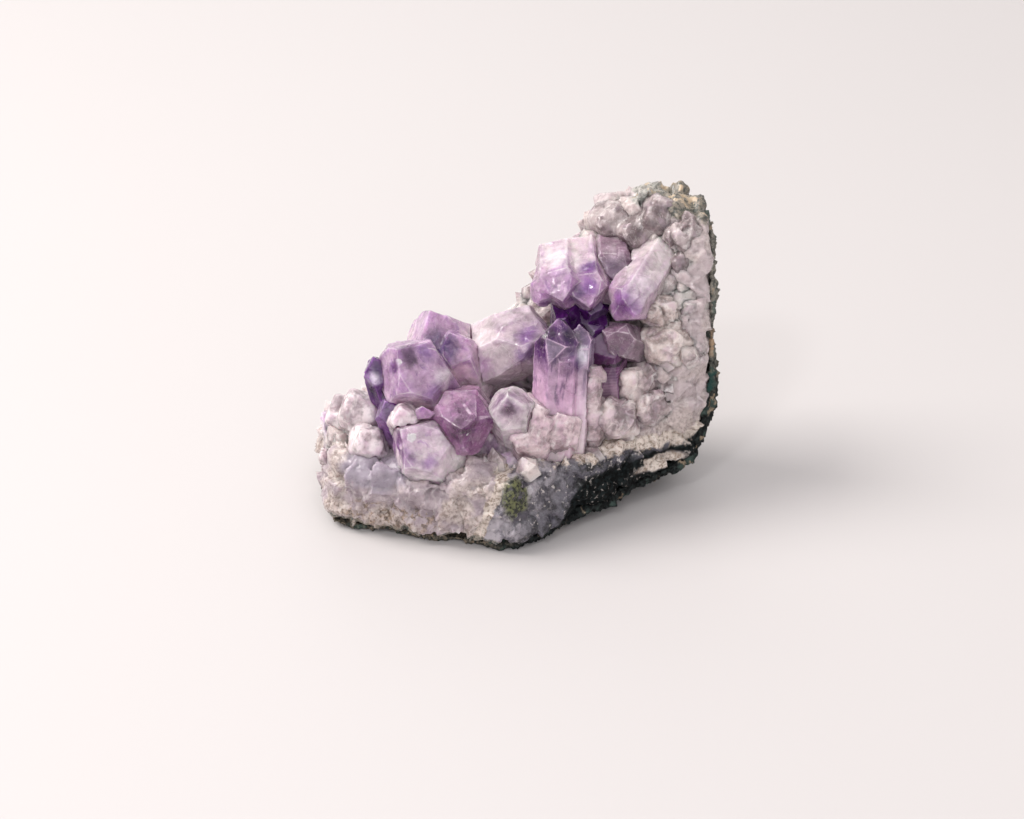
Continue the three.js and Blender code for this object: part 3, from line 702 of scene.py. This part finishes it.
# How far below the nearest tip a place is, and the colour that it has there
def zoned(nodes, where, node, look):
    below, straight = None, None
    for root, tip in points[node]["points"]:
        start = place(*tip)
        axis = (place(*root) - start).normalized()
        down = nodes.dot(nodes.vector("SUBTRACT", where, tuple(start)), tuple(axis)) / mm
        below = down if below is None else below.least(down)
        if straight is None:
            alongAxis = nodes.scaled(tuple(axis), nodes.dot(where, tuple(axis)) * 0.72)
            straight = nodes.vector("SUBTRACT", where, alongAxis)
    flat = below
    warp = nodes.noise(where, 3.5 * mm, 3.0)
    below = below + (warp - 0.5) * 7
    reach = look["reach"]
    body = nodes.mix(below.ramp(reach, reach * 2.2), colour(look["body"]), colour(look["root"]))
    body = nodes.mix(below.ramp(reach, 0.5) * look["tipShare"], body, colour(look["tip"]))
    blots = nodes.noise(straight, 1.3 * mm, 4.0, 0.55, 0.6)
    spots = blots.ramp(0.55, 0.66) * below.ramp(reach * 1.9, 1.5) * look["spots"]
    body = nodes.mix(spots, body, colour(look["spot"]))
    clouds = nodes.noise(straight, 3.2 * mm, 4.0, 0.6)
    tip, deep = colour(look["tip"]), colour(look["body"])
    haze = deep if "gloss" in look else nodes.mix(0.5, colour(look["root"]), colour("fbf5f8"))
    body = nodes.mix(clouds.ramp(0.5, 0.7) * 0.35, body, haze)
    body = nodes.mix(clouds.ramp(0.52, 0.34) * 0.4, body, nodes.mix(0.55, tip, deep))
    wisps = abs(nodes.noise(where, 2.8 * mm, 4.0, 0.55, 1.4) - 0.5).ramp(0.02, 0.0)
    body = nodes.mix(wisps * 0.4, body, haze)
    layout = nodes.vector("ADD", nodes.scaled(where, 1 / mm), tuple(middle))
    for centre, size, hexCode in marks.get(node, ()):
        far = nodes.vector("LENGTH", nodes.vector("SUBTRACT", layout, centre), out=1) / (size * 0.5)
        # the white marks are painted glints: painted highlights with a sharper rim than the spots
        spread = 0.12 if hexCode == "ffffff" else 0.6
        near = (far + (warp - 0.5) * 1.6 + (blots - 0.5) * 1.4).ramp(1 + spread, 1 - spread)
        body = nodes.mix(near * 0.9, body, colour(hexCode))
    if look is looks["striped"]:  # a dark growth band, and finer ones under it
        band = abs(flat - 6.2).ramp(0.5, 0.25)
        lines = nodes.add("ShaderNodeTexWave", {"bands_direction": "Z"}, {
            "Vector": nodes.add("ShaderNodeCombineXYZ", {}, {2: flat}), "Scale": 0.5, "Distortion": 1.0})
        body = nodes.mix(lines * flat.ramp(6, 8) * 0.35, body, colour("c9a8c0"))
        body = nodes.mix(band * 0.9, body, colour("260a2c"))
    edge = nodes.add("ShaderNodeAttribute", {"attribute_name": "edge"}, out="Fac")
    rim = (edge + (warp - 0.5) * 3).ramp(1.5, 0.2) * below.ramp(16, 8) * (blots + clouds).ramp(0.9, 1.1)
    body = nodes.mix(rim * 0.5, body, tip)
    body = nodes.mix(0.16, body, nodes.mix(1.0, body, body, "MULTIPLY"))
    # painted highlights along the edges, partly the white of chipped edges; strongest on the clear point,
    # where it paints a bright rim
    shine = 0.6 if look is looks["clear"] else 0.07
    body = nodes.mix((edge + (blots - 0.5) * 1.6).ramp(1.1, 0.1) * shine, body, haze)
    body = nodes.mix(edge.ramp(0.22, 0.06) * clouds.ramp(0.44, 0.6) * 0.7, body, haze)
    flecks = nodes.noise(where, 0.55 * mm, 3.0, 0.6)
    body = nodes.mix(flecks.ramp(0.6, 0.7) * 0.2, body, haze)
    body = nodes.mix(flecks.ramp(0.4, 0.3) * below.ramp(12, 4) * 0.35, body, tip)
    # painted light: each flat face made lighter or darker at random, as painted reflections from inside the
    # point
    tone = nodes.add("ShaderNodeAttribute", {"attribute_name": "paintedFacetLight"}, out="Fac")
    paintedFacetBright = nodes.mix(tone.clamped(), body, colour("ffffff"))
    return flat, below, nodes.mix((tone * -1).clamped(), paintedFacetBright, nodes.mix(1.0, body, body, "MULTIPLY"))


def shellFinish(name, node, look):
    material, nodes = startFinish(name)
    where = nodes.add("ShaderNodeTexCoord", out="Object")
    flat, below, body = zoned(nodes, where, node, look)
    fine = nodes.noise(where, 1.2 * mm, 4.0, 0.6)
    broad = nodes.noise(where, 2.6 * mm, 3.0)
    bent = nodes.vector("ADD", where, nodes.scaled(nodes.noise(where, 3 * mm, 3.0, colour=True), 3 * mm))
    crack = nodes.add("ShaderNodeTexVoronoi", {"feature": "DISTANCE_TO_EDGE"}, {
        "Vector": bent, "Scale": 1 / (8 * mm)})
    crack = crack.ramp(0.008, 0.0)
    growth = nodes.noise(nodes.add("ShaderNodeCombineXYZ", {}, {2: flat}), 0.5, 3.0, 0.6)
    hills = nodes.facets(where, 1.8 * mm) * 0.32 + nodes.facets(where, 0.8 * mm) * 0.16 + fine * 0.06
    hills = hills + growth * 0.12 - crack * 0.3
    bump = nodes.add("ShaderNodeBump", {}, {"Height": hills, "Strength": 0.8, "Distance": 0.3 * mm})
    rough = fine.ramp(0.4, 0.7, 0.02, 0.1)
    stone = nodes.add("ShaderNodeBsdfPrincipled", {}, {
        "Base Color": body, "Roughness": rough, "IOR": quartzIor, "Normal": bump,
        "Specular IOR Level": look.get("gloss", 0.5),
        "Subsurface Weight": 1.0, "Subsurface Radius": (1.0, 0.8, 1.0), "Subsurface Scale": 2.2 * mm})
    tint = nodes.mix(0.6, body, colour("ffffff"))
    glass = nodes.add("ShaderNodeBsdfPrincipled", {}, {
        "Base Color": tint, "Roughness": rough, "IOR": quartzIor, "Normal": bump,
        "Transmission Weight": 1.0})
    milk = (1 - look["clear"]) + (broad - 0.5) * 0.9 + (fine - 0.5) * 0.6
    milk = milk + below.ramp(5, 16, -0.05, 0.3) + crack * 0.2
    surface = nodes.add("ShaderNodeMixShader", {}, {0: milk.clamped(), 1: glass, 2: stone})
    absorbed = nodes.add("ShaderNodeVolumeAbsorption", {}, {
        "Color": colour(look["body"]), "Density": crystal["absorption"]})
    nodes.add("ShaderNodeOutputMaterial", {}, {"Surface": surface, "Volume": absorbed})
    return material


def makePoints(node, about, seed):
    name = node.replace("amethyst_", "violet_").replace("quartz_", "clear_")
    look = looks[about["look"]]
    piece = bareCopy(node, name)
    swollen(piece.data, crystal["swell"] * mm)
    chipped(piece.data, seed, crystal["chips"])
    shape = bmesh.new()
    shape.from_mesh(piece.data)
    shape.faces.ensure_lookup_table()
    evened(piece, crystal["voxel"])
    markFaces(piece, shape, seed)
    shape.free()
    roughen(piece, crystalSkin, shellFinish(name, node, look))
    settle(piece)
    piece.data.shade_smooth()
    hand(piece, node)
    print(name, len(piece.data.polygons))
    return piece


grown = {}
for seed, (node, about) in enumerate(points.items()):
    if "milky" in about:
        name = node.replace("quartz_", "milky_")
        grown[node] = makeRock(node, name, milkFinish(name, about["milky"]))
    else:
        grown[node] = makePoints(node, about, seed)
print("points made", len(grown))


# ---- druse: small points of quartz that cover the lining between the big ones
druseLook = {
    "lumps": {"spacing": 2.6, "smallest": 3.2, "largest": 7.0, "lean": 0.4, "seed": 7},
    "filling": {"spacing": 2.8, "smallest": 4.4, "largest": 7.4, "lean": 0.25, "seed": 11},
    "small": {"spacing": 1.5, "smallest": 1.1, "largest": 2.6, "lean": 0.5, "seed": 4},
}
towardsCavity = (-0.3, -0.62, 0.72)


def smallPoint(number):  # one small six-sided point, a little uneven, standing on the origin
    shape = bmesh.new()
    corners = []
    for level, width in ((-0.75, 0.55), (-0.1, 0.57)):
        ring = []
        for n in range(6):
            angle = math.radians(60 * n)
            out = width * (1 + 0.16 * math.sin(number * 2.1 + n * 1.7))
            up = level + 0.1 * math.sin(number + n * 2.4)
            ring.append(shape.verts.new((out * math.cos(angle), out * math.sin(angle), up)))
        corners.append(ring)
    aside = (0.06 * math.sin(number * 3.0), 0.06 * math.cos(number * 3.0))
    tip = shape.verts.new((*aside, 0.42 + 0.1 * (number % 3)))
    for n in range(6):
        a, b = corners[0][n], corners[0][(n + 1) % 6]
        c, d = corners[1][(n + 1) % 6], corners[1][n]
        shape.faces.new((a, b, c, d))
        shape.faces.new((d, c, tip))
    shape.faces.new(list(reversed(corners[0])))
    mesh = bpy.data.meshes.new("smallPoint")
    shape.to_mesh(mesh)
    shape.free()
    return mesh


def makeDruse(kind, host, finish):
    look = druseLook[kind]
    name = kind + "_druse"
    kinds = bpy.data.collections.new("smallPoints")
    for number in range(5):
        kinds.objects.link(bpy.data.objects.new("smallPoint", smallPoint(number)))
    piece = bpy.data.objects.new(name, host.data.copy())
    bpy.context.scene.collection.objects.link(piece)
    inputs = {"Spacing": look["spacing"] * mm, "Smallest": look["smallest"] * mm,
              "Largest": look["largest"] * mm, "Lean": look["lean"], "Seed": look["seed"]}
    nodes, given = treeFor(piece, "druse", inputs)
    amount = nodes.add("GeometryNodeInputNamedAttribute", {"data_type": "FLOAT"}, {"Name": kind})
    scatter = nodes.add("GeometryNodeDistributePointsOnFaces", {"distribute_method": "POISSON"}, {
        "Mesh": given.out("Geometry"), "Distance Min": given.out("Spacing"), "Density Max": 4e6,
        "Density Factor": amount, "Seed": given.out("Seed")})
    wild = nodes.add("FunctionNodeRandomValue", {"data_type": "FLOAT_VECTOR"}, {
        "Min": (-1, -1, -1), "Max": (1, 1, 1), "Seed": 3})
    outwards = nodes.vector("ADD", scatter.out("Normal"), nodes.scaled(towardsCavity, 0.5))
    outwards = nodes.vector("ADD", outwards, nodes.scaled(wild, given.out("Lean")))
    turn = nodes.add("FunctionNodeAlignRotationToVector", {"axis": "Z"}, {"Vector": outwards})
    spin = nodes.add("FunctionNodeRandomValue", {"data_type": "FLOAT"}, {2: 0.0, 3: 6.28, "Seed": 5}, out=1)
    about = nodes.add("FunctionNodeAxisAngleToRotation", {}, {"Axis": (0, 0, 1), "Angle": spin})
    turn = nodes.add("FunctionNodeRotateRotation", {"rotation_space": "LOCAL"}, {
        "Rotation": turn, "Rotate By": about})
    chance = nodes.add("FunctionNodeRandomValue", {"data_type": "FLOAT"}, {2: 0.0, 3: 1.0, "Seed": 8}, out=1)
    amountThere = nodes.add("GeometryNodeInputNamedAttribute", {"data_type": "FLOAT"}, {"Name": kind})
    spread = given.out("Largest") - given.out("Smallest")
    size = given.out("Smallest") + spread * chance ** 2.0 * amountThere
    shapes = nodes.add("GeometryNodeCollectionInfo", {}, {"Collection": kinds, "Separate Children": True})
    which = nodes.add("FunctionNodeRandomValue", {"data_type": "INT"}, {4: 0, 5: 4, "Seed": 2}, out=2)
    placed = nodes.add("GeometryNodeInstanceOnPoints", {}, {
        "Points": scatter.out("Points"), "Instance": shapes, "Pick Instance": True, "Instance Index": which,
        "Rotation": turn, "Scale": nodes.add("ShaderNodeCombineXYZ", {}, {0: size, 1: size, 2: size})})
    whole = nodes.add("GeometryNodeRealizeInstances", {}, {"Geometry": placed})
    final = nodes.add("GeometryNodeSetMaterial", {}, {"Geometry": whole, "Material": finish})
    nodes.add("NodeGroupOutput", {}, {"Geometry": final})
    settle(piece)
    for o in list(kinds.objects):
        bpy.data.objects.remove(o)
    bpy.data.collections.remove(kinds)
    piece.data.shade_flat()
    hand(piece, None)
    print(name, len(piece.data.polygons))
    return piece


# Where the druse stands. Each pair says, in mm in the layout, where there is none of it and where it is full.
druseWhere = {
    "overCrust": (4.5, 8.5), "smallOverCrust": (7.5, 10.5), "underTop": (49, 45), "low": (24, 19),
    "fromBack": (22.5, 20.5), "fromBreak": (5, 6.5), "fillingFromBreak": (8, 9.5), "lying": (0.3, 0.6),
}


def share(value, kind):  # 0 where there is none, 1 where it is full, straight between
    none, full = druseWhere[kind]
    return min(max((value - none) / (full - none), 0.0), 1.0)


toPoints = nearestTo([piece.data for piece in grown.values()])
lumps, filling, small = [], [], []
for vertex, depth in zip(wall.data.vertices, wall.data.attributes["skinDepth"].data):
    at = vertex.co / mm + middle
    deep = depth.value / mm
    gap = toPoints(vertex.co) / mm
    fromBreak = at.y + 23 + (at.x * 0.33 if at.x < 0 else -at.x * 0.68)  # how far behind the broken front
    low = share(at.z, "low")
    lying = share(vertex.normal.z, "lying")
    inside = share(deep, "overCrust") * share(at.y, "fromBack") if gap > 0.15 else 0
    inside *= share(fromBreak + max(at.z - 25, 0), "fromBreak")
    between = 0.3 < gap < 5 and 14 < at.z < 34 and deep > 5
    recess = 5 < at.x < 18 and at.z > 27
    lumps.append(inside * share(at.z, "underTop") * (1 - 0.35 * low) * max(lying, 1 - low))
    filling.append(share(fromBreak, "fillingFromBreak") if between and not recess else 0)
    small.append(inside * low * share(deep, "smallOverCrust") * 0.8 * lying)
markEach(wall, "lumps", lumps)
markEach(wall, "filling", filling)
markEach(wall, "small", small)
makeDruse("lumps", wall, milkFinish("lump_quartz", ("ac9c9e", "d2c7c4", "c6b2bd")))
makeDruse("filling", wall, milkFinish("filling_quartz", ("b59db6", "e0d0dc", "c7a3cc")))
makeDruse("small", wall, milkFinish("small_quartz", ("ab9b9d", "dad0ce", "cfb8c8")))
print("druse made")
